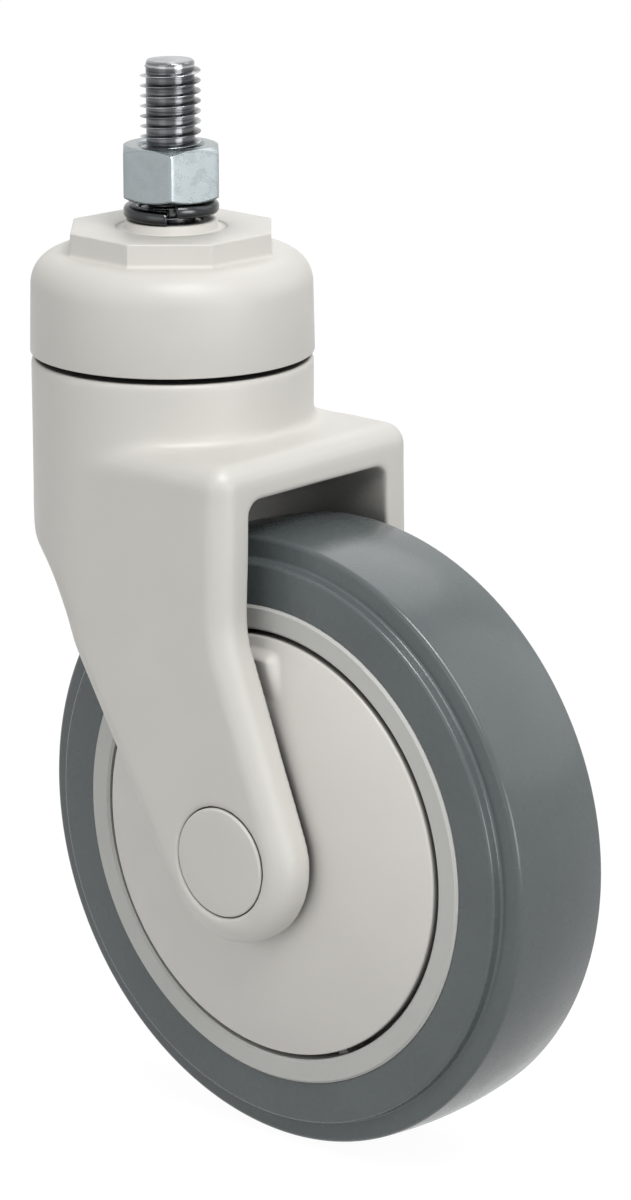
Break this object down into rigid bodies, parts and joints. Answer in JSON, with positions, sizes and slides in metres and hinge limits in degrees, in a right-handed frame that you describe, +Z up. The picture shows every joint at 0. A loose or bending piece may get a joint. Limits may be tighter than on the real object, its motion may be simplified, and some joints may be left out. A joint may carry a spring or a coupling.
{
  "type": "swivel stem castor",
  "caption": "Swivel castor: threaded stem with nut and spring washer, octagon-topped cap, one-piece moulded fork and a grey tyred wheel between thread guards. It swivels and rolls.",
  "frame": {"origin": "on the stem's axis, in the plane of the top of the cap's octagon, which seats against the furniture", "axes": "+Z up along the stem, +X towards the trailing wheel, Y along the axle"},
  "size_m": [0.1304, 0.0598, 0.212],
  "materials": {
    "zinc": "bright zinc plating",
    "washer": "black oxide, semi-gloss",
    "moulding": "satin moulded polyamide, warm off-white",
    "guard": "satin moulded plastic, warm light grey",
    "rim": "satin moulded plastic, light grey",
    "tyre": "smooth non-marking rubber, blue-grey",
    "bearing_steel": "ground steel",
    "seal": "matt",
    "cage": "moulded polyamide"
  },
  "bodies": {
    "stem": {"threaded_stem": "zinc", "stem_nut": "zinc", "spring_washer": "washer", "swivel_cap": "moulding", "upper_swivel_inner_ring": "bearing_steel", "lower_swivel_inner_ring": "bearing_steel", "swivel_spacer": "bearing_steel", "stem_circlip": "bearing_steel"},
    "fork": {"fork": "moulding", "upper_swivel_outer_ring": "bearing_steel", "lower_swivel_outer_ring": "bearing_steel", "upper_swivel_top_seal": "seal", "upper_swivel_bottom_seal": "seal", "lower_swivel_top_seal": "seal", "lower_swivel_bottom_seal": "seal", "upper_swivel_balls": "bearing_steel", "lower_swivel_balls": "bearing_steel", "upper_swivel_cage": "cage", "lower_swivel_cage": "cage", "axle_bolt": "zinc", "axle_nut": "zinc", "axle_sleeve": "bearing_steel", "left_axle_bush": "bearing_steel", "right_axle_bush": "bearing_steel", "wheel_bearing_spacer": "bearing_steel", "left_wheel_inner_ring": "bearing_steel", "right_wheel_inner_ring": "bearing_steel", "left_axle_cap": "moulding", "right_axle_cap": "moulding", "left_thread_guard": "guard", "right_thread_guard": "guard"},
    "wheel": {"wheel_rim": "rim", "tyre": "tyre", "left_wheel_outer_ring": "bearing_steel", "right_wheel_outer_ring": "bearing_steel", "left_wheel_outer_seal": "seal", "left_wheel_inner_seal": "seal", "right_wheel_outer_seal": "seal", "right_wheel_inner_seal": "seal", "left_wheel_balls": "bearing_steel", "right_wheel_balls": "bearing_steel", "left_wheel_cage": "cage", "right_wheel_cage": "cage"}
  },
  "joints": [
    {"name": "swivel", "type": "hinge", "parent": "stem", "child": "fork", "pos_m": [0, 0, 0], "axis": [0, 0, 1], "continuous": true},
    {"name": "wheel_spin", "type": "hinge", "parent": "fork", "child": "wheel", "pos_m": [0.0395, 0, -0.1165], "axis": [0, 1, 0], "continuous": true}
  ]
}
